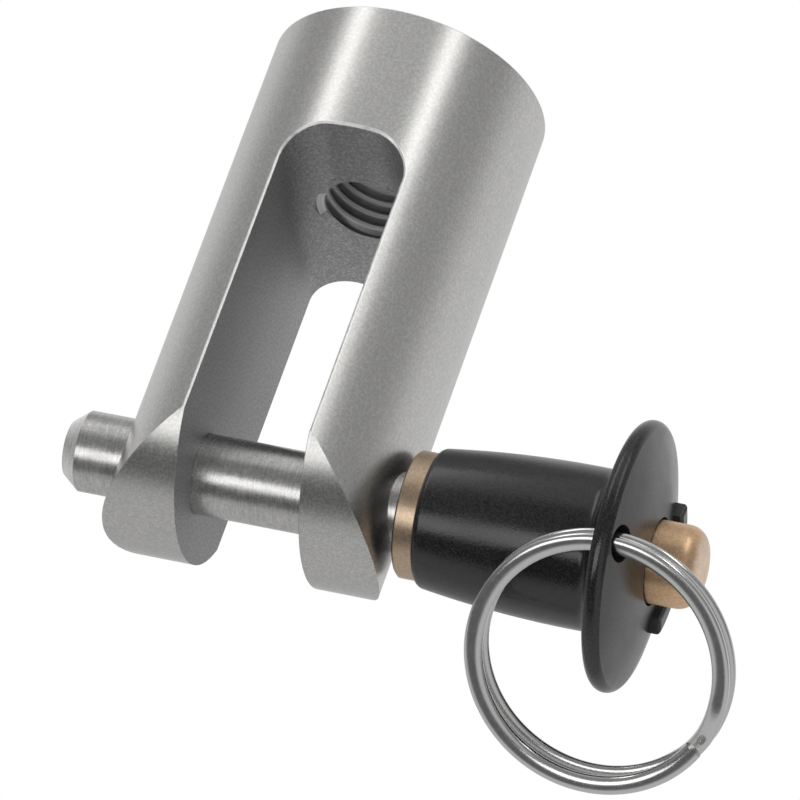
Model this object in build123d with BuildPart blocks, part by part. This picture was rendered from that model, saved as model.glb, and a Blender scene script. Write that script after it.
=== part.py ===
from build123d import *
from math import asin, cos, degrees, radians, sin, sqrt
import os

# Clevis grip for a tensile tester: a slotted cylinder on a threaded stud, with a push-button
# release pin through its two ears. Millimetres.
# Frame: +Z up the load axis, origin at the centre of the top face where the stud enters,
# +X along the pin from its tip to its handle, +Y across the slot.

# Clevis body
BODY_DIA = 44.45
BODY_LENGTH = 88.9
SLOT_WIDTH = 20.0
WEB_THICKNESS = 22.9
SLOT_CORNER_R = 6.35
PIN_TO_END = 12.7
EDGE_BREAK = 0.35
STUD_DIA = 15.875

# Pin shank
SHANK_DIA = 12.7
SHANK_CLEARANCE = 0.05
TIP_REACH = 9.3
TIP_CHAMFER_LENGTH = 2.5
TIP_FACE_DIA = 8.8
TAIL_DIA = 10.4
THREAD_DIA = 9.2
SHOULDER_DEPTH = 1.75

# Locking balls, and the spindle that drives them out
BALL_DIA = 4.0
BALL_TRAVEL = 1.0
BALL_INSET = 0.05
BALL_FROM_TIP = 10.3
BALL_WINDOW_CLEARANCE = 0.05
BALL_LIP = 0.3
BALL_LIP_DIA = 3.8
BALL_COUNT = 2
RECESS_CLEARANCE = 0.3
RECESS_PLAY = 0.15
SPINDLE_DIA = 6.5
SPINDLE_CLEARANCE = 0.1
SPINDLE_END_GAP = 0.5
SPINDLE_CONE_GAP = 0.03
SPINDLE_SPIGOT_DIA = 4.4
SPINDLE_SPIGOT_LENGTH = 5.0
SPINDLE_NECK_LENGTH = 2.6

# Push button, its spring and the spring's seat
BUTTON_DIA = 13.0
BUTTON_PROUD = 7.0
BUTTON_TRAVEL = 2.5
BUTTON_EDGE_R = 3.2
BUTTON_CLEARANCE = 0.4
BUTTON_WALL = 1.3
BUTTON_HEAD = 8.4
BUTTON_LIFT = 0.4
SPRING_WIRE_DIA = 0.9
SPRING_DIA = 9.0
SPRING_TURNS = 6
SPRING_END_GAP = 0.05
SEAT_THICKNESS = 0.6
SEAT_DIA = 10.2

# Ferrule at the inner end of the handle
FERRULE_DIA = 19.9
FERRULE_LENGTH = 3.15
FERRULE_EDGE = 0.3
FERRULE_PLAY = 1.4
SPIGOT_DIA = 16.8
SPIGOT_LENGTH = 4.0

# Handle: barrel, flange and the guard beside the button
BARREL_NOSE_DIA = 21.9
BARREL_DIA = 25.2
BARREL_LENGTH = 29.1
BARREL_NOSE_R = 1.2
BARREL_NOSE_ANGLE = 82.0
FLANGE_DIA = 42.2
FLANGE_NECK_R = 2.0
FLANGE_BACK_RISE = 1.4
RIM_THICKNESS = 2.85
RIM_INSET = 0.85
DOME_HEIGHT = 3.15
HANDLE_WEB = 12.2
GUARD_INNER_DIA = 20.0
GUARD_DIA = 25.6
GUARD_RISE = 0.75
GUARD_SPAN = 106.0
GUARD_EDGE = 0.6
HANDLE_CLOCK = 26.0
FIT = 0.02

# Nut and washer that clamp the handle on the shank
NUT_FLATS = 11.4
NUT_THICKNESS = 4.6
WASHER_THICKNESS = 0.8
WASHER_DIA = 13.2
NUT_TAIL = 1.0

# Split ring: two turns of flattened wire through the flange
RING_MEAN_DIA = 39.04
RING_WIRE_WIDTH = 2.9
RING_WIRE_THICK = 1.8
RING_HOLE_DIA = 5.8
RING_HOLE_RADIUS = 17.0
RING_GAP_AT_HOLE = 1.95
RING_GAP_AT_FOOT = 4.4
RING_SWING = 119.1
RING_LEAN = 1.76
RING_JOG_ANGLE = -32.0
RING_JOG_SPAN = 46.0
RING_END_REACH = 20.0

# Places that follow from the sizes
BODY_R = BODY_DIA / 2
PIN_R = SHANK_DIA / 2
PIN_Z = PIN_TO_END - BODY_LENGTH
SLOT_TOP_Z = -WEB_THICKNESS
BALL_R = BALL_DIA / 2
BUTTON_R = BUTTON_DIA / 2
TIP_X = -BODY_R - TIP_REACH
BALL_X = TIP_X + BALL_FROM_TIP
FERRULE_X = BODY_R + FERRULE_PLAY
SHOULDER_X = FERRULE_X + SHOULDER_DEPTH
BARREL_X = FERRULE_X + FERRULE_LENGTH
RIM_BACK_X = BARREL_X + BARREL_LENGTH + FLANGE_BACK_RISE
RIM_MID_X = RIM_BACK_X + RIM_THICKNESS / 2
RIM_FRONT_X = RIM_BACK_X + RIM_THICKNESS
DOME_X = RIM_FRONT_X + DOME_HEIGHT
WASHER_X = BARREL_X + SPIGOT_LENGTH + HANDLE_WEB
NUT_X = WASHER_X + WASHER_THICKNESS
SHANK_END_X = NUT_X + NUT_THICKNESS + NUT_TAIL
SEAT_TOP_X = SHANK_END_X + SEAT_THICKNESS
BUTTON_TOP_X = DOME_X + BUTTON_PROUD
BUTTON_FLOOR_X = BUTTON_TOP_X - BUTTON_HEAD
SKIRT_X = SEAT_TOP_X + BUTTON_LIFT

# Ball positions: the ball rides on a cone of the spindle, drawn in at rest
BALL_REST_RHO = PIN_R - BALL_INSET - BALL_R
CONE_SLOPE = BALL_TRAVEL / BUTTON_TRAVEL
CONE_LIFT = BALL_R * sqrt(1 + CONE_SLOPE**2)
NECK_R = BALL_REST_RHO - CONE_LIFT - SPINDLE_CONE_GAP
SPINDLE_R = SPINDLE_DIA / 2
CONE_LENGTH = (SPINDLE_R - NECK_R) / CONE_SLOPE

PIN_AXIS = Axis((0, 0, PIN_Z), (1, 0, 0))
PIN_SIDE = Plane((0, 0, PIN_Z), x_dir=(1, 0, 0), z_dir=(0, -1, 0))


def across_pin(x):
    """Plane square to the pin axis at x: its x runs along +Y and its y along +Z."""
    return Plane((x, 0, PIN_Z), x_dir=(0, 1, 0), z_dir=(1, 0, 0))


def save(part, name):
    part.label = name
    export_step(part, f"parts/{name}.step")


os.makedirs("parts", exist_ok=True)

# Clevis body: turned bar, slotted from below, with its ears rounded to the bar's own radius
EAR_ARC_Z = BODY_R - BODY_LENGTH
COUNTERBORE_R = PIN_R - BALL_INSET + BALL_TRAVEL + RECESS_CLEARANCE
BALL_CAP_R = sqrt(BALL_R**2 - (BALL_R - BALL_TRAVEL + BALL_INSET) ** 2)
COUNTERBORE_X = BALL_X + BALL_CAP_R + RECESS_PLAY
BORE_R = PIN_R + SHANK_CLEARANCE

with BuildPart() as clevis_body:
    with BuildSketch(Plane.XY):
        Circle(BODY_R)
    extrude(amount=-BODY_LENGTH)
    chamfer(clevis_body.faces().sort_by(Axis.Z)[-1].edges(), EDGE_BREAK)
    with BuildSketch(Plane.YZ) as ear_outline:
        with BuildLine():
            Line((-BODY_R, 0), (BODY_R, 0))
            Line((BODY_R, 0), (BODY_R, EAR_ARC_Z))
            RadiusArc((BODY_R, EAR_ARC_Z), (-BODY_R, EAR_ARC_Z), BODY_R)
            Line((-BODY_R, EAR_ARC_Z), (-BODY_R, 0))
        make_face()
    extrude(amount=BODY_R, both=True, mode=Mode.INTERSECT)
    with BuildSketch(Plane.XZ) as slot:
        with Locations((0, SLOT_TOP_Z)):
            Rectangle(SLOT_WIDTH, BODY_LENGTH, align=(Align.CENTER, Align.MAX))
        fillet(slot.vertices().group_by(Axis.Y)[-1], SLOT_CORNER_R)
    extrude(amount=BODY_R, both=True, mode=Mode.SUBTRACT)
    slot_edges = clevis_body.edges().filter_by(
        lambda e: abs(e.center().Y) > SLOT_WIDTH / 4
        and abs(e.center().X) < SLOT_WIDTH / 2 + EDGE_BREAK
        and e.center().Z < SLOT_TOP_Z + EDGE_BREAK
    )
    chamfer(slot_edges, EDGE_BREAK)
    with BuildSketch(Plane.XY):
        Circle(STUD_DIA / 2)
    extrude(amount=-WEB_THICKNESS - SLOT_CORNER_R, mode=Mode.SUBTRACT)
    with BuildSketch(Plane.YZ):
        with Locations((0, PIN_Z)):
            Circle(BORE_R)
    extrude(amount=BODY_R, both=True, mode=Mode.SUBTRACT)
    with BuildSketch(across_pin(COUNTERBORE_X)):
        Circle(COUNTERBORE_R)
    extrude(amount=-BODY_R, mode=Mode.SUBTRACT)
save(clevis_body.part, "clevis_body")

# Pin shank: hollow turned steel, with two ball windows near its tip
SPINDLE_BORE_R = SPINDLE_R + SPINDLE_CLEARANCE
SPINDLE_TIP_X = BALL_X - CONE_LENGTH - BALL_R
BORE_END_X = SPINDLE_TIP_X - SPINDLE_END_GAP

with BuildPart() as pin_shank:
    with BuildSketch(PIN_SIDE) as shank_profile:
        with BuildLine():
            Polyline(
                (TIP_X, 0),
                (TIP_X, TIP_FACE_DIA / 2),
                (TIP_X + TIP_CHAMFER_LENGTH, PIN_R),
                (SHOULDER_X, PIN_R),
                (SHOULDER_X, TAIL_DIA / 2),
                (WASHER_X, TAIL_DIA / 2),
                (WASHER_X, THREAD_DIA / 2),
                (SHANK_END_X, THREAD_DIA / 2),
                (SHANK_END_X, SPINDLE_BORE_R),
                (BORE_END_X, SPINDLE_BORE_R),
                (BORE_END_X, 0),
                close=True,
            )
        make_face()
    revolve(axis=PIN_AXIS)
    with BuildSketch(Plane((BALL_X, 0, PIN_Z))):
        Circle(BALL_R + BALL_WINDOW_CLEARANCE)
    extrude(amount=PIN_R - BALL_LIP, both=True, mode=Mode.SUBTRACT)
    with BuildSketch(Plane((BALL_X, 0, PIN_Z))):
        Circle(BALL_LIP_DIA / 2)
    extrude(amount=PIN_R + BALL_LIP, both=True, mode=Mode.SUBTRACT)
save(pin_shank.part, "pin_shank")

# Locking balls, drawn in flush with the shank
for index in range(BALL_COUNT):
    side = 1 - 2 * index
    with BuildPart() as ball:
        with Locations((BALL_X, 0, PIN_Z + side * BALL_REST_RHO)):
            Sphere(BALL_R)
    save(ball.part, "locking_ball_upper" if side > 0 else "locking_ball_lower")

# Release spindle: full diameter at its tip, a cone under the balls, then a guide to the button
NECK_END_X = BALL_X + SPINDLE_NECK_LENGTH
GUIDE_X = NECK_END_X + (SPINDLE_R - NECK_R)

with BuildPart() as release_spindle:
    with BuildSketch(PIN_SIDE):
        with BuildLine():
            Polyline(
                (SPINDLE_TIP_X, 0),
                (SPINDLE_TIP_X, SPINDLE_R),
                (BALL_X - CONE_LENGTH, SPINDLE_R),
                (BALL_X, NECK_R),
                (NECK_END_X, NECK_R),
                (GUIDE_X, SPINDLE_R),
                (BUTTON_FLOOR_X, SPINDLE_R),
                (BUTTON_FLOOR_X, SPINDLE_SPIGOT_DIA / 2),
                (BUTTON_FLOOR_X + SPINDLE_SPIGOT_LENGTH, SPINDLE_SPIGOT_DIA / 2),
                (BUTTON_FLOOR_X + SPINDLE_SPIGOT_LENGTH, 0),
                close=True,
            )
        make_face()
    revolve(axis=PIN_AXIS)
save(release_spindle.part, "release_spindle")

# Push button: a brass cup over the spring, with a softly rounded end
with BuildPart() as push_button:
    with BuildSketch(across_pin(SKIRT_X)):
        Circle(BUTTON_R)
    extrude(amount=BUTTON_TOP_X - SKIRT_X)
    fillet(push_button.faces().sort_by(Axis.X)[-1].edges(), BUTTON_EDGE_R)
    with BuildSketch(across_pin(SKIRT_X)):
        Circle(BUTTON_R - BUTTON_WALL)
    extrude(amount=BUTTON_FLOOR_X - SKIRT_X, mode=Mode.SUBTRACT)
    with BuildSketch(across_pin(BUTTON_FLOOR_X)):
        Circle(SPINDLE_SPIGOT_DIA / 2 + FIT)
    extrude(amount=SPINDLE_SPIGOT_LENGTH + FIT, mode=Mode.SUBTRACT)
save(push_button.part, "push_button")

# Spring seat on the end of the shank, and the return spring on it
with BuildPart() as spring_seat:
    with BuildSketch(across_pin(SHANK_END_X)):
        Circle(SEAT_DIA / 2)
        Circle(SPINDLE_BORE_R, mode=Mode.SUBTRACT)
    extrude(amount=SEAT_THICKNESS)
save(spring_seat.part, "spring_seat")

SPRING_WIRE_R = SPRING_WIRE_DIA / 2
SPRING_MEAN_R = SPRING_DIA / 2 - SPRING_WIRE_R
SPRING_START_X = SEAT_TOP_X + SPRING_WIRE_R + SPRING_END_GAP
SPRING_HEIGHT = BUTTON_FLOOR_X - SPRING_WIRE_R - SPRING_END_GAP - SPRING_START_X
SPRING_PITCH = SPRING_HEIGHT / SPRING_TURNS

with BuildPart() as return_spring:
    with BuildLine() as spring_line:
        Helix(
            pitch=SPRING_PITCH,
            height=SPRING_HEIGHT,
            radius=SPRING_MEAN_R,
            center=(SPRING_START_X, 0, PIN_Z),
            direction=(1, 0, 0),
        )
    with BuildSketch(Plane(origin=spring_line.line @ 0, z_dir=spring_line.line % 0)):
        Circle(SPRING_WIRE_R)
    sweep(is_frenet=True)
save(return_spring.part, "return_spring")

# Ferrule: brass collar pressed into the handle, seated on the shank's shoulder
with BuildPart() as handle_ferrule:
    with BuildSketch(PIN_SIDE):
        with BuildLine():
            Polyline(
                (FERRULE_X, PIN_R + FIT),
                (FERRULE_X, FERRULE_DIA / 2 - FERRULE_EDGE),
                (FERRULE_X + FERRULE_EDGE, FERRULE_DIA / 2),
                (BARREL_X, FERRULE_DIA / 2),
                (BARREL_X, SPIGOT_DIA / 2),
                (BARREL_X + SPIGOT_LENGTH, SPIGOT_DIA / 2),
                (BARREL_X + SPIGOT_LENGTH, TAIL_DIA / 2 + FIT),
                (SHOULDER_X, TAIL_DIA / 2 + FIT),
                (SHOULDER_X, PIN_R + FIT),
                close=True,
            )
        make_face()
    revolve(axis=PIN_AXIS)
save(handle_ferrule.part, "handle_ferrule")

# Handle: one moulding, its barrel swelling into a thin flange with a rolled rim and a low dome
FLANGE_R = FLANGE_DIA / 2
BACK_X = BARREL_X + BARREL_LENGTH
DOME_EDGE_R = FLANGE_R - RIM_INSET
CAVITY_R = BUTTON_R + BUTTON_CLEARANCE
GUARD_TOP_X = DOME_X + GUARD_RISE

with BuildPart() as handle:
    with BuildSketch(PIN_SIDE) as handle_profile:
        with BuildLine():
            nose = Line((BARREL_X, 0), (BARREL_X, BARREL_NOSE_DIA / 2 - BARREL_NOSE_R))
            nose_round = JernArc(nose @ 1, (0, 1), BARREL_NOSE_R, -BARREL_NOSE_ANGLE)
            barrel = TangentArc(
                nose_round @ 1, (BACK_X - FLANGE_NECK_R, BARREL_DIA / 2), tangent=nose_round % 1
            )
            neck = RadiusArc(
                barrel @ 1, (BACK_X, BARREL_DIA / 2 + FLANGE_NECK_R), -FLANGE_NECK_R
            )
            back = Line(neck @ 1, (RIM_BACK_X, FLANGE_R - RIM_INSET))
            rim = ThreePointArc(back @ 1, (RIM_MID_X, FLANGE_R), (RIM_FRONT_X, DOME_EDGE_R))
            dome = TangentArc((DOME_X, 0), rim @ 1, tangent=(0, 1))
            Line((DOME_X, 0), (BARREL_X, 0))
        make_face()
    revolve(axis=PIN_AXIS)
    with BuildSketch(across_pin(RIM_FRONT_X)):
        with BuildLine():
            outer = CenterArc(
                (0, 0), GUARD_DIA / 2, HANDLE_CLOCK - GUARD_SPAN / 2, GUARD_SPAN
            )
            inner = CenterArc(
                (0, 0), GUARD_INNER_DIA / 2, HANDLE_CLOCK - GUARD_SPAN / 2, GUARD_SPAN
            )
            Line(outer @ 0, inner @ 0)
            Line(outer @ 1, inner @ 1)
        make_face()
    extrude(amount=GUARD_TOP_X - RIM_FRONT_X)
    fillet(handle.faces().sort_by(Axis.X)[-1].edges(), GUARD_EDGE)
    with BuildSketch(across_pin(BARREL_X)):
        Circle(SPIGOT_DIA / 2 + FIT)
    extrude(amount=SPIGOT_LENGTH, mode=Mode.SUBTRACT)
    with BuildSketch(across_pin(BARREL_X)):
        Circle(TAIL_DIA / 2 + FIT)
    extrude(amount=BARREL_LENGTH, mode=Mode.SUBTRACT)
    with BuildSketch(across_pin(WASHER_X)):
        Circle(CAVITY_R)
    extrude(amount=GUARD_TOP_X - WASHER_X, mode=Mode.SUBTRACT)
    with BuildSketch(across_pin(BACK_X - FLANGE_NECK_R)):
        with PolarLocations(RING_HOLE_RADIUS, 1, start_angle=HANDLE_CLOCK + 180):
            Circle(RING_HOLE_DIA / 2)
    extrude(amount=DOME_X, mode=Mode.SUBTRACT)
save(handle.part, "handle")

# Washer and hex nut that clamp the handle against the ferrule
with BuildPart() as nut_washer:
    with BuildSketch(across_pin(WASHER_X)):
        Circle(WASHER_DIA / 2)
        Circle(THREAD_DIA / 2 + FIT, mode=Mode.SUBTRACT)
    extrude(amount=WASHER_THICKNESS)
save(nut_washer.part, "nut_washer")

with BuildPart() as handle_nut:
    with BuildSketch(across_pin(NUT_X)):
        RegularPolygon(NUT_FLATS / 2, 6, major_radius=False)
        Circle(THREAD_DIA / 2 + FIT, mode=Mode.SUBTRACT)
    extrude(amount=NUT_THICKNESS)
save(handle_nut.part, "handle_nut")

# Split ring: two turns of flattened wire through the flange, each turn a circle tilted away
# from the other below the hole. The wire crosses over at the lower right, and both of its ends
# run part of the way into the crossover.
RING_R = RING_MEAN_DIA / 2
CLOCK = radians(HANDLE_CLOCK)
HOLE_Y = -RING_HOLE_RADIUS * cos(CLOCK)
HOLE_Z = PIN_Z - RING_HOLE_RADIUS * sin(CLOCK)
SWING = radians(RING_SWING + HANDLE_CLOCK + 180)
HANG = Vector(0, cos(SWING), sin(SWING))
LEAN = radians(RING_LEAN)
ALONG = Vector(1, 0, 0)
RING_CENTER = (
    Vector(RIM_MID_X, HOLE_Y, HOLE_Z) + (HANG * cos(LEAN) + ALONG * sin(LEAN)) * RING_R
)
RING_PLANE = Plane(
    RING_CENTER,
    x_dir=ALONG * cos(LEAN) - HANG * sin(LEAN),
    z_dir=HANG.cross(ALONG),
)
TURN_TILT = degrees(asin((RING_GAP_AT_FOOT - RING_GAP_AT_HOLE) / 2 / RING_MEAN_DIA))
JOG_START = RING_JOG_ANGLE - RING_JOG_SPAN / 2
JOG_END = RING_JOG_ANGLE + RING_JOG_SPAN / 2
TURN_SPAN = 360 - RING_JOG_SPAN + RING_END_REACH


def turn_plane(side):
    """Plane of one turn: hinged at the top of the ring, half the gap off its middle there."""
    top = Plane(
        RING_PLANE.from_local_coords((0, RING_R, side * RING_GAP_AT_HOLE / 2)),
        x_dir=RING_PLANE.x_dir,
        z_dir=RING_PLANE.z_dir,
    )
    return top.rotated((-side * TURN_TILT, 0, 0))


with BuildPart() as split_ring:
    with BuildLine(turn_plane(-1)) as low_turn:
        CenterArc((0, -RING_R), RING_R, JOG_END - RING_END_REACH, TURN_SPAN)
    with BuildLine(turn_plane(1)) as high_turn:
        CenterArc((0, -RING_R), RING_R, JOG_END, TURN_SPAN)
    with BuildLine() as crossover:
        Spline(
            low_turn.line @ 1,
            high_turn.line @ 0,
            tangents=(low_turn.line % 1, high_turn.line % 0),
        )
    with BuildSketch(
        Plane(low_turn.line @ 0, x_dir=RING_PLANE.z_dir, z_dir=low_turn.line % 0)
    ):
        Ellipse(RING_WIRE_THICK / 2, RING_WIRE_WIDTH / 2)
    sweep(path=Wire(low_turn.edges() + crossover.edges() + high_turn.edges()))
save(split_ring.part, "split_ring")
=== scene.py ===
"""Finishes, hole thread and studio for a clevis grip with a ball-lock pin."""

import math

import bmesh
import bpy
from bpy.props import FloatProperty, FloatVectorProperty, IntProperty, PointerProperty
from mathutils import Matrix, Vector


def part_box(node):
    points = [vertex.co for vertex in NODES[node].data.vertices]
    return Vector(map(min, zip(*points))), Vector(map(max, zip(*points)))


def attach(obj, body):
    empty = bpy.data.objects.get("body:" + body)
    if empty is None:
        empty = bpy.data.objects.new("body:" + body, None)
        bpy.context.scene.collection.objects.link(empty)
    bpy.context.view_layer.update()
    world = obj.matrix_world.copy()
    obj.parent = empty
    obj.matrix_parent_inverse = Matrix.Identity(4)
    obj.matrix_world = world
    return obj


bl_info = {
    "name": "Clevis grip",
    "version": (1, 0, 0),
    "blender": (4, 5, 0),
    "location": "View3D > Sidebar > Grip",
    "description": "Dresses the solids of a clevis grip and lights them",
    "category": "Object",
}

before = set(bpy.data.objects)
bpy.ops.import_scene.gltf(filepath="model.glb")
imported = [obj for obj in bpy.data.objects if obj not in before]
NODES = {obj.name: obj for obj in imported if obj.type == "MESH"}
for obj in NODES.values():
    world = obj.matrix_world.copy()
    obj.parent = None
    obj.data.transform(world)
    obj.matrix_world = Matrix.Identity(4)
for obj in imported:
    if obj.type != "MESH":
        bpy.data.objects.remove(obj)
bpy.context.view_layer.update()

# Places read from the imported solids
BODY_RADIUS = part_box("clevis_body")[1].x
HANDLE_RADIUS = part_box("handle")[1].y
SHANK_LOW, SHANK_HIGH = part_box("pin_shank")
PIN_Z = (SHANK_LOW.z + SHANK_HIGH.z) / 2

# Width over which one surface's finish passes into the next
SEAM = 0.0001

# Flats that follow the slot's rounded corners at the thread's end: their joins, as shares of
# the thread's outer radius, and how far the last of them goes past that radius
CEILING_JOINS = (0.7, 0.88)
CEILING_MARGIN = 0.001

# Each lamp's name, turn and tilt round the grip in degrees, distance, size and brightness
LAMPS = (
    ("left_strip", -133, 33, 1.6, (0.34, 1.1), 2.1),
    ("right_strip", -54, 33, 1.6, (0.23, 1.1), 2.9),
    ("low_softbox", -110, -37, 1.2, (1.0, 0.50), 1.7),
)
LAMP_TARGET = Vector((0, 0, -0.05))

# Turns round the grip, in degrees, between which the ceiling over the camera is brightest
CAMERA_SIDE = (-128, -72)
CAMERA_SIDE_FADE = 14


def colour(name, description, default):
    """A colour property."""
    return FloatVectorProperty(
        name=name, description=description, default=default, subtype="COLOR", min=0, max=1
    )


def length(name, description, default):
    """A length property, in metres."""
    return FloatProperty(
        name=name, description=description, default=default, unit="LENGTH", precision=5
    )


def share(name, description, default):
    """A property from 0 to 1."""
    return FloatProperty(name=name, description=description, default=default, min=0, max=1)


class StageSettings(bpy.types.PropertyGroup):
    """The studio round the grip."""

    camera_place: FloatVectorProperty(
        name="Camera place",
        description="Where the camera stands",
        default=(0.436471, -1.339919, -0.896922),
        unit="LENGTH",
    )
    camera_turn: FloatVectorProperty(
        name="Camera turn",
        description="The camera's rotation",
        default=(2.137852, -0.297555, 0.119685),
        subtype="EULER",
    )
    lens: FloatProperty(
        name="Lens", description="Focal length of the camera in millimetres", default=478.307, min=1
    )
    floor_height: length("Floor height", "Height of the floor under the grip", -2.7)
    floor_reach: length("Floor reach", "Half of the floor's side", 8)
    floor_colour: colour("Floor colour", "Pale floor", (0.86, 0.86, 0.86))
    floor_glow: colour(
        "Floor glow", "Added to the floor where the camera sees it", (0.48, 0.48, 0.48)
    )
    near_floor: colour(
        "Near floor", "Floor on the camera's side, as the metal shows it", (0.16, 0.16, 0.16)
    )
    room_light: share("Room light", "Strength of the even light in the studio", 0.6)
    back_wall: share("Back wall", "Brightness of the room beyond the grip, in the metal", 0.74)
    back_foot: share("Back foot", "Brightness of the lower part of that room", 0.50)
    near_wall: share("Near wall", "Brightness of the room behind the camera, in the metal", 0.24)
    ceiling: share("Ceiling", "Brightness of the ceiling over the camera, in the metal", 0.62)


class BodySettings(bpy.types.PropertyGroup):
    """Clevis body and the thread in its top hole."""

    steel: colour("Steel", "Turned outside of the body", (0.62, 0.615, 0.60))
    slot_steel: colour("Slot steel", "Milled walls of the slot", (0.46, 0.46, 0.465))
    # Painted highlight: the broken edges are painted brighter and less metallic than the steel
    edge_highlight_steel: colour("Edge steel", "Bright broken edges", (0.86, 0.855, 0.84))
    grain: length("Grain", "Depth of the turning marks", 0.000005)
    slot_width: length("Slot width", "Width between the ears", 0.020)
    slot_top: length("Slot top", "Height of the slot's ceiling", -0.0229)
    slot_round: length("Slot rounding", "Radius of the slot's upper corners", 0.00635)
    # Painted shade: the slot's walls are painted darker from the top height down to the foot height
    slot_shade_top: length("Fade top", "Height at which the slot's walls begin to grow duller", -0.025)
    slot_shade_foot: length("Fade foot", "Height at which the slot's walls are dullest", -0.065)
    ear_end: length("Ear end", "How far under the pin the brushed ear ends begin", 0.004)
    edge_break: length("Edge break", "Width of the broken edges", 0.0004)
    thread_major: length("Thread major radius", "Radius of the tapped hole's wall", 0.0079375)
    thread_minor: length("Thread minor radius", "Radius at the thread's crest", 0.00685)
    thread_pitch: length("Thread pitch", "Rise of the thread in one turn", 0.0023091)
    thread_bite: length("Thread bite", "How far the ridge stands into the hole's wall", 0.00004)
    ridge_root: share("Ridge root", "Width of the ridge at the wall, in pitches", 0.76)
    ridge_crest: share("Ridge crest", "Width of the ridge at its crest, in pitches", 0.22)
    thread_start: FloatProperty(
        name="Thread start", description="Where the ridge starts, in turns", default=0.085
    )
    thread_steps: IntProperty(
        name="Thread steps", description="Facets in one turn of the thread", default=72, min=12
    )


class PinSettings(bpy.types.PropertyGroup):
    """Pin shank and the steel parts in it."""

    steel: colour("Steel", "Turned steel of the shank", (0.60, 0.595, 0.585))
    nose_length: length("Nose length", "Length of the cone on the shank's tip", 0.0025)
    ball: colour("Ball", "Polished locking balls", (0.78, 0.78, 0.77))
    plated: colour("Plated steel", "Nut, washer, seat and spring", (0.58, 0.58, 0.56))


class HandleSettings(bpy.types.PropertyGroup):
    """Black handle with its brass ferrule and button."""

    black: colour("Black", "Moulded plastic of the barrel", (0.009, 0.009, 0.0095))
    flange: colour("Flange black", "Duller plastic of the flange and dome", (0.020, 0.0195, 0.020))
    ferrule: colour("Ferrule brass", "Satin brass of the collar", (0.61, 0.465, 0.335))
    # Painted shade: the collar's face toward the body is painted dark, so the body mirrors it dark
    ferrule_face_painted_shade: colour("Ferrule face", "Dark face of the collar by the body", (0.24, 0.228, 0.22))
    button: colour("Button brass", "Dull brass of the button", (0.88, 0.595, 0.365))
    button_face: colour("Button face", "Paler end of the button", (0.86, 0.67, 0.51))
    flange_start: length("Flange start", "Distance along the pin where the flange begins", 0.0562)
    rim_width: length("Rim width", "Width of the gloss rim of the flange", 0.0016)


class RingSettings(bpy.types.PropertyGroup):
    """Split ring."""

    wire: colour("Wire", "Bright wire of the ring", (0.88, 0.88, 0.875))


class Value:
    """A socket that takes part in Python arithmetic: each expression adds its Math node."""

    def __init__(self, nodes, socket):
        self.nodes = nodes
        self.socket = socket

    def math(self, operation, *terms):
        node = self.nodes.add("ShaderNodeMath", {"operation": operation}, dict(enumerate(terms)))
        return Value(self.nodes, node.outputs[0])

    def __add__(self, other):
        return self.math("ADD", self, other)

    __radd__ = __add__

    def __sub__(self, other):
        return self.math("SUBTRACT", self, other)

    def __rsub__(self, other):
        return self.math("SUBTRACT", other, self)

    def __mul__(self, other):
        return self.math("MULTIPLY", self, other)

    __rmul__ = __mul__

    def __pow__(self, other):
        return self.math("POWER", self, other)

    def __abs__(self):
        return self.math("ABSOLUTE", self)

    def rises(self, low, high):
        """0 below low and 1 above high, with a smooth step between."""
        node = self.nodes.add(
            "ShaderNodeMapRange",
            {"interpolation_type": "SMOOTHSTEP"},
            {"Value": self, "From Min": low, "From Max": high},
        )
        return Value(self.nodes, node.outputs[0])

    def falls(self, low, high):
        """1 below low and 0 above high."""
        return 1 - self.rises(low, high)

    def between(self, low, high, soft):
        """1 between low and high, with soft shoulders."""
        return self.rises(low - soft, low + soft) * self.falls(high - soft, high + soft)


class Nodes:
    """A node tree that a finish or the studio is written in."""

    def __init__(self, tree):
        self.tree = tree

    def add(self, kind, settings=None, sockets=None):
        """Makes any node: its settings are set first, then its sockets' values or links."""
        node = self.tree.nodes.new(kind)
        for name, value in (settings or {}).items():
            setattr(node, name, value)
        for name, value in (sockets or {}).items():
            self.feed(node.inputs[name], value)
        return node

    def feed(self, socket, value):
        """Gives a socket a value, or links it; a colour's socket takes a fourth number."""
        if isinstance(value, Value):
            value = value.socket
        if isinstance(value, bpy.types.NodeSocket):
            self.tree.links.new(value, socket)
        elif socket.type == "RGBA":
            socket.default_value = (*value, 1)
        else:
            socket.default_value = value

    def mix(self, amount, first, second):
        """Blends two colours."""
        node = self.add("ShaderNodeMix", {"data_type": "RGBA"}, {0: amount, 6: first, 7: second})
        return node.outputs[2]


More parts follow.
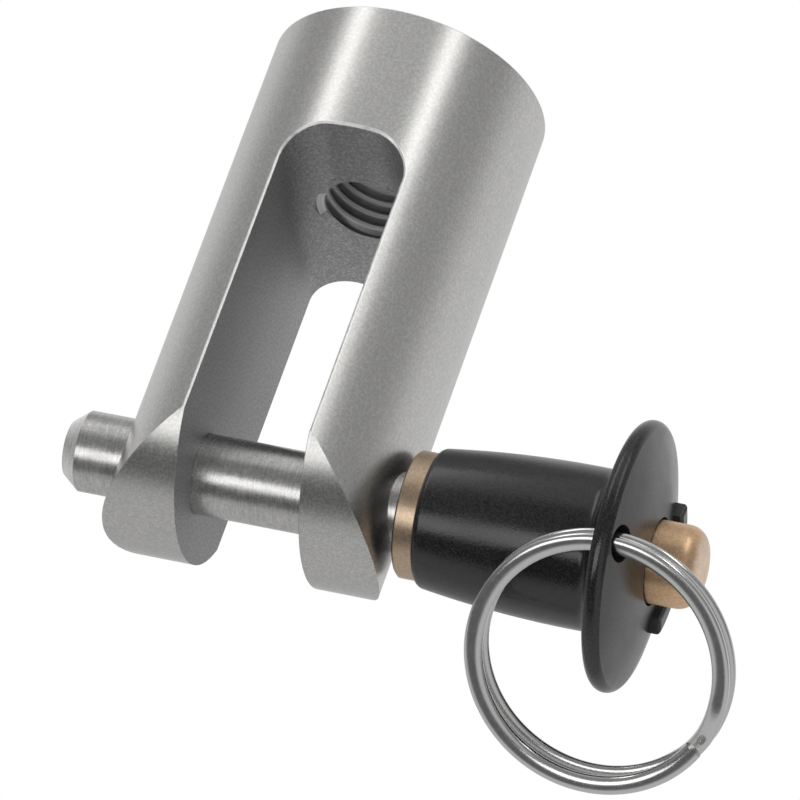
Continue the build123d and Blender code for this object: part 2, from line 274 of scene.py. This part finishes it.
class Finish(Nodes):
    """One procedural material round the principled shader."""

    def __init__(self, name, **sockets):
        self.material = bpy.data.materials.new(name)
        self.material.use_nodes = True
        super().__init__(self.material.node_tree)
        self.shader = self.tree.nodes["Principled BSDF"]
        self.place = self.add("ShaderNodeTexCoord").outputs["Object"]
        parts = self.add("ShaderNodeSeparateXYZ", None, {0: self.place})
        self.x, self.y, self.z = (Value(self, parts.outputs[i]) for i in range(3))
        self.set(**sockets)

    def set(self, **sockets):
        """Feeds the shader: base_color stands for its Base Color."""
        for name, value in sockets.items():
            title = name.replace("_", " ").title().replace("Ior", "IOR")
            self.feed(self.shader.inputs[title], value)

    def noise(self, scale, stretch=(1, 1, 1), seed=0, detail=3, rough=0.65):
        """Noise from 0 to 1 over the object, scale waves in a metre before it is stretched."""
        spread = self.add(
            "ShaderNodeMapping",
            None,
            {"Vector": self.place, "Scale": stretch, "Location": (seed, seed * 0.7, seed * 0.3)},
        )
        node = self.add(
            "ShaderNodeTexNoise",
            None,
            {"Vector": spread.outputs[0], "Scale": scale, "Detail": detail, "Roughness": rough},
        )
        return Value(self, node.outputs[0])

    def lines(self, place, detail=3, rough=0.65):
        """Fine uneven lines across the way that place grows, one wave in each unit of it."""
        node = self.add(
            "ShaderNodeTexNoise",
            {"noise_dimensions": "1D"},
            {"W": place, "Scale": 1, "Detail": detail, "Roughness": rough},
        )
        return Value(self, node.outputs[0])

    def from_axis(self, along, centre):
        """Distance from a line along x or z through centre."""
        if along == "z":
            first, second = self.x - centre[0], self.y - centre[1]
        else:
            first, second = self.y - centre[1], self.z - centre[2]
        return (first * first + second * second) ** 0.5

    def relief(self, height, depth):
        """Bump that stands depth high where height is 1."""
        node = self.add(
            "ShaderNodeBump", None, {"Strength": 1, "Distance": depth, "Height": height}
        )
        self.set(normal=node.outputs[0])

    def shade(self, tone, amount):
        """A colour made lighter and darker by amount, a value about 1."""
        node = self.add(
            "ShaderNodeVectorMath", {"operation": "SCALE"}, {"Vector": tone, "Scale": amount}
        )
        return node.outputs[0]

    def cover(self, *names):
        """Puts the finish on CAD nodes."""
        for name in names:
            materials = NODES[name].data.materials
            materials.clear()
            materials.append(self.material)


def new_object(name, mesh):
    """A finished mesh as an object in the scene."""
    data = bpy.data.meshes.new(name)
    mesh.to_mesh(data)
    mesh.free()
    item = bpy.data.objects.new(name, data)
    bpy.context.scene.collection.objects.link(item)
    return item


def slot_distance(finish, settings):
    """Distance out from the slot's walls and rounded ceiling, below zero inside the slot."""
    aside = abs(finish.x) - (settings.slot_width / 2 - settings.slot_round)
    above = finish.z - (settings.slot_top - settings.slot_round)
    corner_x = aside.math("MAXIMUM", aside, 0)
    corner_z = above.math("MAXIMUM", above, 0)
    flat = aside.math("MAXIMUM", aside, above)
    corner = (corner_x * corner_x + corner_z * corner_z) ** 0.5
    return corner + flat.math("MINIMUM", flat, 0) - settings.slot_round


def edge_highlight_mask(finish, settings, radius, off_slot):
    """Mask of a painted highlight along the broken edges round the slot's mouths and the top rim,
    broken up by noise.
    """
    width = settings.edge_break
    by_slot = off_slot.falls(width, 1.4 * width) * off_slot.rises(0.2 * SEAM, SEAM)
    by_slot = by_slot * radius.rises(BODY_RADIUS - 3 * width, BODY_RADIUS - 2 * width)
    by_rim = finish.z.rises(-1.2 * width, -0.8 * width)
    by_rim = by_rim * radius.rises(BODY_RADIUS - 2.5 * width, BODY_RADIUS - 1.5 * width)
    by_rim = by_rim * radius.falls(BODY_RADIUS - 4 * SEAM, BODY_RADIUS - SEAM)
    highlight_breaks = finish.noise(700, seed=8, detail=4, rough=0.75).rises(0.30, 0.60)
    return (by_slot + by_rim) * (0.3 + 0.9 * highlight_breaks)


def body_steel(settings):
    """Turned steel outside, milled steel in the slot, brushed ear ends, bright broken edges as
    painted highlight, painted shade in the hole and low in the slot.
    """
    finish = Finish("turned_body_steel", metallic=1)
    radius = finish.from_axis("z", (0, 0, 0))
    off_slot = slot_distance(finish, settings)
    in_slot = off_slot.falls(0.2 * SEAM, SEAM)
    in_hole = radius.falls(settings.thread_major + SEAM, settings.thread_major + 3 * SEAM)
    outside = radius.rises(BODY_RADIUS - 4 * SEAM, BODY_RADIUS - SEAM)
    top_face = finish.z.rises(-1.2 * SEAM, -0.4 * SEAM)
    low = finish.z.falls(PIN_Z - 2 * settings.ear_end, PIN_Z - settings.ear_end)
    ear_end = low * (1 - outside) * (1 - in_slot)
    # 1 high in the slot and 0 low down: painted shade towards the bottom of the slot
    upper = finish.z.rises(settings.slot_shade_foot, settings.slot_shade_top)
    turning = finish.noise(1000, stretch=(0.2, 0.2, 5))
    milling = finish.noise(1700, stretch=(4, 0.2, 0.2), seed=3)
    facing = finish.lines(radius * 1600)
    inside = milling + (facing - milling) * top_face
    grain = turning * outside + inside * (1 - outside)
    speckle = finish.noise(2200, rough=0.75)
    pits = speckle.rises(0.42, 0.62)
    cloud = finish.noise(60, stretch=(1, 1, 0.5), rough=0.6)
    # Painted shade: the hole's wall is darkened by half
    turned = (0.80 + 0.12 * grain + 0.20 * pits + 0.08 * cloud) * (1 - 0.5 * in_hole)
    # Milled steel, with painted shade lower in the slot
    milled = (0.66 + 0.30 * cloud + 0.40 * pits) * (0.87 + 0.25 * upper)
    steel = finish.shade(settings.steel, turned)
    dull = finish.shade(settings.slot_steel, milled)
    # Painted highlight along the broken edges, blended in by the edge mask, which also lowers the
    # metallic
    bright = finish.shade(settings.edge_highlight_steel, 0.9 + 0.2 * speckle)
    edge = edge_highlight_mask(finish, settings, radius, off_slot)
    finish.set(
        base_color=finish.mix(edge, finish.mix(in_slot, steel, dull), bright),
        roughness=0.22 + 0.05 * cloud + 0.12 * speckle + 0.28 * in_slot - 0.03 * ear_end,
        metallic=1 - 0.55 * edge,
    )
    finish.relief(grain * 0.7 + speckle * (1 + in_slot), settings.grain)
    return finish


def thread_steel(settings):
    """Cut thread with a painted highlight on the crest, painted shade in the root and an end as
    dull as the slot.
    """
    finish = Finish("cut_thread_steel")
    depth = finish.from_axis("z", (0, 0, 0)).rises(settings.thread_minor, settings.thread_major)
    end = slot_distance(finish, settings).falls(settings.thread_bite, 2 * settings.thread_bite)
    # Painted light: the crest is painted lighter and less metallic as a highlight, the root darker
    # as painted shade
    crest = depth.falls(0.02, 0.35) * (1 - end)
    marks = finish.noise(1600, stretch=(0.3, 0.3, 4), detail=2, rough=0.6)
    pits = finish.noise(2200, rough=0.75).rises(0.42, 0.62)
    shade = (1.1 + 0.5 * crest + 0.3 * marks) * (1 - end) + (0.8 + 0.4 * pits) * end
    finish.set(
        base_color=finish.shade(settings.slot_steel, shade),
        roughness=0.34 + 0.12 * marks + 0.12 * end,
        metallic=1 - 0.7 * crest,
    )
    finish.relief(marks, depth=0.000006)
    return finish


def ceiling_height(settings, aside):
    """Height of the slot's ceiling at a distance aside from the middle plane."""
    over = max(aside - (settings.slot_width / 2 - settings.slot_round), 0)
    return settings.slot_top - settings.slot_round + math.sqrt(settings.slot_round**2 - over**2)


def helical_ridge(settings, outer):
    """A ridge that climbs the hole's wall, longer than the hole at both ends."""
    pitch = settings.thread_pitch
    lowest = ceiling_height(settings, outer)
    turns = math.ceil(-lowest / pitch) + 2
    start = lowest + (settings.thread_start - 1) * pitch
    root, crest = settings.ridge_root / 2 * pitch, settings.ridge_crest / 2 * pitch
    outline = (
        (outer, start - root),
        (settings.thread_minor, start - crest),
        (settings.thread_minor, start + crest),
        (outer, start + root),
    )
    mesh = bmesh.new()
    section = mesh.faces.new([mesh.verts.new((radius, 0, height)) for radius, height in outline])
    bmesh.ops.spin(
        mesh,
        geom=[section, *section.edges, *section.verts],
        cent=(0, 0, 0),
        axis=(0, 0, 1),
        dvec=(0, 0, pitch / settings.thread_steps),
        angle=math.tau * turns,
        steps=settings.thread_steps * turns,
        use_duplicate=False,
    )
    bmesh.ops.recalc_face_normals(mesh, faces=mesh.faces)
    return new_object("hole_thread", mesh)


def thread_room(settings, outer, gap):
    """The room that the ridge may fill, a gap short of the top face and of the slot's ceiling."""
    flat = settings.slot_width / 2 - settings.slot_round
    asides = [flat, *(outer * join for join in CEILING_JOINS), outer + CEILING_MARGIN]
    asides = [-aside for aside in reversed(asides)] + asides
    reach = asides[-1]
    outline = [(aside, ceiling_height(settings, abs(aside)) + gap) for aside in asides]
    outline += [(reach, -gap), (-reach, -gap)]
    mesh = bmesh.new()
    side = mesh.faces.new([mesh.verts.new((x, -reach, z)) for x, z in outline])
    grown = bmesh.ops.extrude_face_region(mesh, geom=[side])["geom"]
    far_side = [item for item in grown if isinstance(item, bmesh.types.BMVert)]
    bmesh.ops.translate(mesh, vec=(0, 2 * reach, 0), verts=far_side)
    bmesh.ops.recalc_face_normals(mesh, faces=mesh.faces)
    return new_object("thread_room", mesh)


def keep_inside(piece, room):
    """Cuts away what a piece has outside a room, then takes the room away."""
    cut = piece.modifiers.new("inside", "BOOLEAN")
    cut.operation = "INTERSECT"
    cut.solver = "EXACT"
    cut.object = room
    whole = piece.data
    graph = bpy.context.evaluated_depsgraph_get()
    piece.data = bpy.data.meshes.new_from_object(piece.evaluated_get(graph))
    piece.modifiers.clear()
    bpy.data.meshes.remove(whole)
    bpy.data.meshes.remove(room.data)


def hole_thread(settings, finish):
    """The helical ridge in the tapped hole, from the top face down to the slot's ceiling."""
    outer = settings.thread_major + settings.thread_bite
    piece = helical_ridge(settings, outer)
    keep_inside(piece, thread_room(settings, outer, gap=settings.thread_bite / 2))
    piece.data.materials.append(finish.material)
    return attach(piece, "clevis")


def pin_steel(settings):
    """Finely turned steel with rings round the pin's axis and a paler cone at its tip."""
    finish = Finish("turned_pin_steel", metallic=1)
    nose_end = SHANK_LOW.x + settings.nose_length
    nose = finish.x.falls(nose_end - SEAM, nose_end)
    rings = finish.noise(1500, stretch=(2.6, 0.25, 0.25))
    wear = finish.noise(260, stretch=(0.5, 1.4, 1.4), seed=5, detail=4, rough=0.6)
    speckle = finish.noise(2200, rough=0.7)
    marks = 0.74 + 0.26 * rings.rises(0.3, 0.7) + 0.16 * speckle.rises(0.35, 0.65)
    worn = 0.10 * wear.rises(0.45, 0.75)
    finish.set(
        base_color=finish.shade(settings.steel, marks * (1.04 + 0.6 * nose)),
        roughness=0.20 + 0.07 * rings + worn + 0.05 * speckle + 0.1 * nose,
    )
    finish.relief(rings * 0.8 + speckle * 0.3, depth=0.000005)
    return finish


def ball_steel(settings):
    """Polished balls with faint scuffs."""
    finish = Finish("polished_ball_steel", metallic=1)
    scuff = finish.noise(1800, rough=0.7)
    finish.set(
        base_color=finish.shade(settings.ball, 0.93 + 0.12 * scuff),
        roughness=0.08 + 0.12 * scuff.rises(0.5, 0.8),
    )
    finish.relief(scuff, depth=0.000001)
    return finish


def plated_steel(settings):
    """Plain plated steel of the fasteners and the spring."""
    finish = Finish("plated_fastener_steel", metallic=1)
    cloud = finish.noise(420, rough=0.6)
    fine = finish.noise(3000, detail=2, rough=0.6)
    finish.set(
        base_color=finish.shade(settings.plated, 0.85 + 0.2 * cloud + 0.08 * fine),
        roughness=0.28 + 0.14 * cloud,
    )
    finish.relief(fine, depth=0.000004)
    return finish


def brass(name, node, shade, low_shade, high_shade, rough, turned, grit):
    """Dull brass on a node, with its own colours on the two faces that lie across the pin; on the
    ferrule the low face carries painted shade.
    """
    finish = Finish(name, metallic=1)
    low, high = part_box(node)
    low_face = finish.x.falls(low.x + SEAM, low.x + 3 * SEAM)
    high_face = finish.x.rises(high.x - 10 * SEAM, high.x - 2 * SEAM)
    rings = finish.noise(1400, stretch=turned)
    speckle = finish.noise(2400, seed=2, rough=0.7)
    tarnish = finish.noise(190, seed=7, rough=0.6)
    # On the ferrule the low face takes painted shade; on the button the high face takes its paler
    # end colour
    faces = finish.mix(low_face, finish.mix(high_face, shade, high_shade), low_shade)
    clean = finish.shade(faces, 0.80 + 0.14 * rings + 0.20 * speckle.rises(0.38, 0.62))
    dark = finish.shade(faces, 0.74)
    finish.set(
        base_color=finish.mix(0.45 * tarnish.rises(0.5, 0.75), clean, dark),
        roughness=rough + 0.12 * speckle + 0.05 * tarnish,
    )
    finish.relief(rings * 0.5 + speckle * grit, depth=0.000018)
    finish.cover(node)


def black_plastic(settings):
    """Black plastic with a fine grain: a gloss barrel and rim, and a slightly duller flange."""
    finish = Finish("moulded_black_plastic", specular_ior_level=0.7)
    radius = finish.from_axis("x", (0, 0, PIN_Z))
    rim_start = HANDLE_RADIUS - settings.rim_width
    flange = finish.x.rises(settings.flange_start, settings.flange_start + 6 * SEAM)
    rim = radius.rises(rim_start, rim_start + 10 * SEAM) * flange
    face = flange * (1 - rim)
    grain = finish.noise(3200, detail=2, rough=0.7)
    pits = grain.rises(0.36, 0.64)
    peel = finish.noise(240, seed=4, detail=2, rough=0.5)
    smudge = finish.noise(60, stretch=(0.5, 1, 1), seed=9, rough=0.6)
    barrel = finish.shade(settings.black, 0.1 + 2.2 * pits)
    duller = finish.shade(settings.flange, 0.4 + 1.3 * pits)
    finish.set(
        base_color=finish.mix(face, barrel, duller),
        roughness=0.11 + 0.05 * grain + 0.16 * smudge.rises(0.3, 0.7) + 0.07 * face,
    )
    finish.relief(grain + peel * 0.7, depth=0.00002)
    return finish


def ring_wire(settings):
    """Bright drawn wire with faint scratches."""
    finish = Finish("bright_ring_wire", metallic=1)
    scratch = finish.noise(1200, detail=4, rough=0.75)
    wear = finish.noise(150, seed=6, rough=0.6)
    finish.set(
        base_color=finish.shade(settings.wire, 0.78 + 0.10 * scratch),
        roughness=0.15 + 0.06 * scratch.rises(0.4, 0.7) + 0.05 * wear,
    )
    finish.relief(scratch, depth=0.0000012)
    return finish


def studio_world(settings):
    """White beyond the grip; the metal shows a pale room there and a dim one by the camera."""
    world = bpy.data.worlds.new("studio_room")
    bpy.context.scene.world = world
    world.use_nodes = True
    nodes = Nodes(world.node_tree)
    light = world.node_tree.nodes["Background"]
    path = nodes.add("ShaderNodeLightPath")
    camera, glassy, glossy = (
        Value(nodes, path.outputs[name])
        for name in ("Is Camera Ray", "Is Transmission Ray", "Is Glossy Ray")
    )
    seen = camera.math("MAXIMUM", camera, glassy)
    place = nodes.add("ShaderNodeTexCoord").outputs["Generated"]
    way = nodes.add("ShaderNodeSeparateXYZ", None, {0: place})
    across, back, up = (Value(nodes, way.outputs[i]) for i in range(3))
    turn = back.math("ARCTAN2", back, across)
    first, last = (math.radians(angle) for angle in CAMERA_SIDE)
    camera_side = turn.between(first, last, math.radians(CAMERA_SIDE_FADE))
    overhead = up.rises(0.28, 0.48) * (0.35 + 0.65 * camera_side)
    near = settings.near_wall + (settings.ceiling - settings.near_wall) * overhead
    far = settings.back_foot + (settings.back_wall - settings.back_foot) * up.rises(0, 0.5)
    beyond = back.rises(-0.1, 0.45)
    mirror = near * (1 - beyond) + far * beyond
    level = seen + (1 - seen) * (glossy * mirror + (1 - glossy) * settings.room_light)
    nodes.feed(light.inputs["Strength"], level)
    nodes.feed(light.inputs["Color"], (1, 1, 1))


def lamp(name, turn, tilt, distance, size, brightness):
    """A softbox that looks at the grip, turn and tilt degrees round from it."""
    data = bpy.data.lights.new(name, "AREA")
    data.shape = "RECTANGLE"
    data.size, data.size_y = size
    data.energy = brightness * math.pi * size[0] * size[1]
    item = bpy.data.objects.new(name, data)
    around, over = math.radians(turn), math.radians(tilt)
    way = Vector(
        (math.cos(over) * math.cos(around), math.cos(over) * math.sin(around), math.sin(over))
    )
    item.location = LAMP_TARGET + way * distance
    item.rotation_euler = way.to_track_quat("Z", "Y").to_euler()
    item.visible_camera = False
    bpy.context.scene.collection.objects.link(item)


def floor_finish(settings):
    """Pale floor, white to the camera; on the camera's side the metal shows it darker."""
    finish = Finish("pale_floor", roughness=0.7, emission_strength=1)
    mottle = finish.noise(3, detail=2, rough=0.5)
    path = finish.add("ShaderNodeLightPath")
    glossy = Value(finish, path.outputs["Is Glossy Ray"])
    camera = Value(finish, path.outputs["Is Camera Ray"])
    near = glossy * finish.y.falls(-0.4, 0.5) * finish.x.falls(0.6, 2.0)
    pale = finish.shade(settings.floor_colour, 0.99 + 0.02 * mottle)
    finish.set(
        base_color=finish.mix(near, pale, settings.near_floor),
        emission_color=finish.mix(camera, (0, 0, 0), settings.floor_glow),
    )
    return finish


def studio_floor(settings):
    """The floor, which isn't part of the grip."""
    mesh = bmesh.new()
    bmesh.ops.create_grid(mesh, x_segments=1, y_segments=1, size=settings.floor_reach)
    bmesh.ops.translate(mesh, vec=(0, 0, settings.floor_height), verts=mesh.verts)
    plate = new_object("floor", mesh)
    plate.data.materials.append(floor_finish(settings).material)


class GRIP_OT_stage(bpy.types.Operator):
    """Sets up the camera, lamps, room and floor"""

    bl_idname = "grip.stage"
    bl_label = "Set up the studio"

    def execute(self, context):
        scene = context.scene
        settings = scene.grip_stage
        camera = bpy.data.objects.new("camera", bpy.data.cameras.new("camera"))
        camera.location = settings.camera_place
        camera.rotation_euler = settings.camera_turn
        camera.data.lens = settings.lens
        camera.data.sensor_width = 36
        camera.data.clip_end = 50
        scene.collection.objects.link(camera)
        scene.camera = camera
        scene.view_settings.view_transform = "Standard"
        studio_world(settings)
        for row in LAMPS:
            lamp(*row)
        studio_floor(settings)
        return {"FINISHED"}


class GRIP_OT_body(bpy.types.Operator):
    """Finishes the clevis body and cuts the thread in its top hole"""

    bl_idname = "grip.body"
    bl_label = "Finish the clevis body"

    def execute(self, context):
        settings = context.scene.grip_body
        body_steel(settings).cover("clevis_body")
        hole_thread(settings, thread_steel(settings))
        return {"FINISHED"}


class GRIP_OT_pin(bpy.types.Operator):
    """Finishes the pin shank and the steel parts inside it"""

    bl_idname = "grip.pin"
    bl_label = "Finish the pin"

    def execute(self, context):
        settings = context.scene.grip_pin
        pin_steel(settings).cover("pin_shank", "release_spindle")
        ball_steel(settings).cover("locking_ball_upper", "locking_ball_lower")
        plated_steel(settings).cover("handle_nut", "nut_washer", "spring_seat", "return_spring")
        return {"FINISHED"}


class GRIP_OT_handle(bpy.types.Operator):
    """Finishes the handle, its ferrule and the button"""

    bl_idname = "grip.handle"
    bl_label = "Finish the handle"

    def execute(self, context):
        settings = context.scene.grip_handle
        black_plastic(settings).cover("handle")
        brass(
            "satin_ferrule_brass",
            "handle_ferrule",
            shade=settings.ferrule,
            # Painted shade on the collar's face by the body
            low_shade=settings.ferrule_face_painted_shade,
            high_shade=settings.ferrule,
            rough=0.24,
            turned=(3, 0.25, 0.25),
            grit=0.6,
        )
        brass(
            "dull_button_brass",
            "push_button",
            shade=settings.button,
            low_shade=settings.button,
            high_shade=settings.button_face,
            rough=0.30,
            turned=(1, 0.6, 0.6),
            grit=1,
        )
        return {"FINISHED"}


class GRIP_OT_ring(bpy.types.Operator):
    """Finishes the split ring"""

    bl_idname = "grip.ring"
    bl_label = "Finish the split ring"

    def execute(self, context):
        ring_wire(context.scene.grip_ring).cover("split_ring")
        return {"FINISHED"}


class GRIP_PT_panel(bpy.types.Panel):
    """Settings and steps of the clevis grip"""

    bl_idname = "GRIP_PT_panel"
    bl_label = "Clevis grip"
    bl_space_type = "VIEW_3D"
    bl_region_type = "UI"
    bl_category = "Grip"

    def draw(self, context):
        for name, (_, operator) in STEPS.items():
            box = self.layout.box()
            box.operator(operator.bl_idname)
            settings = getattr(context.scene, name)
            for prop in settings.bl_rna.properties:
                if prop.identifier not in ("rna_type", "name"):
                    box.prop(settings, prop.identifier)


# The scene's settings by name, each with its group and the operator that reads it
STEPS = {
    "grip_stage": (StageSettings, GRIP_OT_stage),
    "grip_body": (BodySettings, GRIP_OT_body),
    "grip_pin": (PinSettings, GRIP_OT_pin),
    "grip_handle": (HandleSettings, GRIP_OT_handle),
    "grip_ring": (RingSettings, GRIP_OT_ring),
}


def register():
    for name, (group, operator) in STEPS.items():
        bpy.utils.register_class(group)
        bpy.utils.register_class(operator)
        setattr(bpy.types.Scene, name, PointerProperty(type=group))
    bpy.utils.register_class(GRIP_PT_panel)


def unregister():
    bpy.utils.unregister_class(GRIP_PT_panel)
    for name, (group, operator) in STEPS.items():
        delattr(bpy.types.Scene, name)
        bpy.utils.unregister_class(operator)
        bpy.utils.unregister_class(group)


def main():
    register()
    bpy.ops.grip.stage()
    bpy.ops.grip.body()
    bpy.ops.grip.pin()
    bpy.ops.grip.handle()
    bpy.ops.grip.ring()


if __name__ == "__main__":
    main()
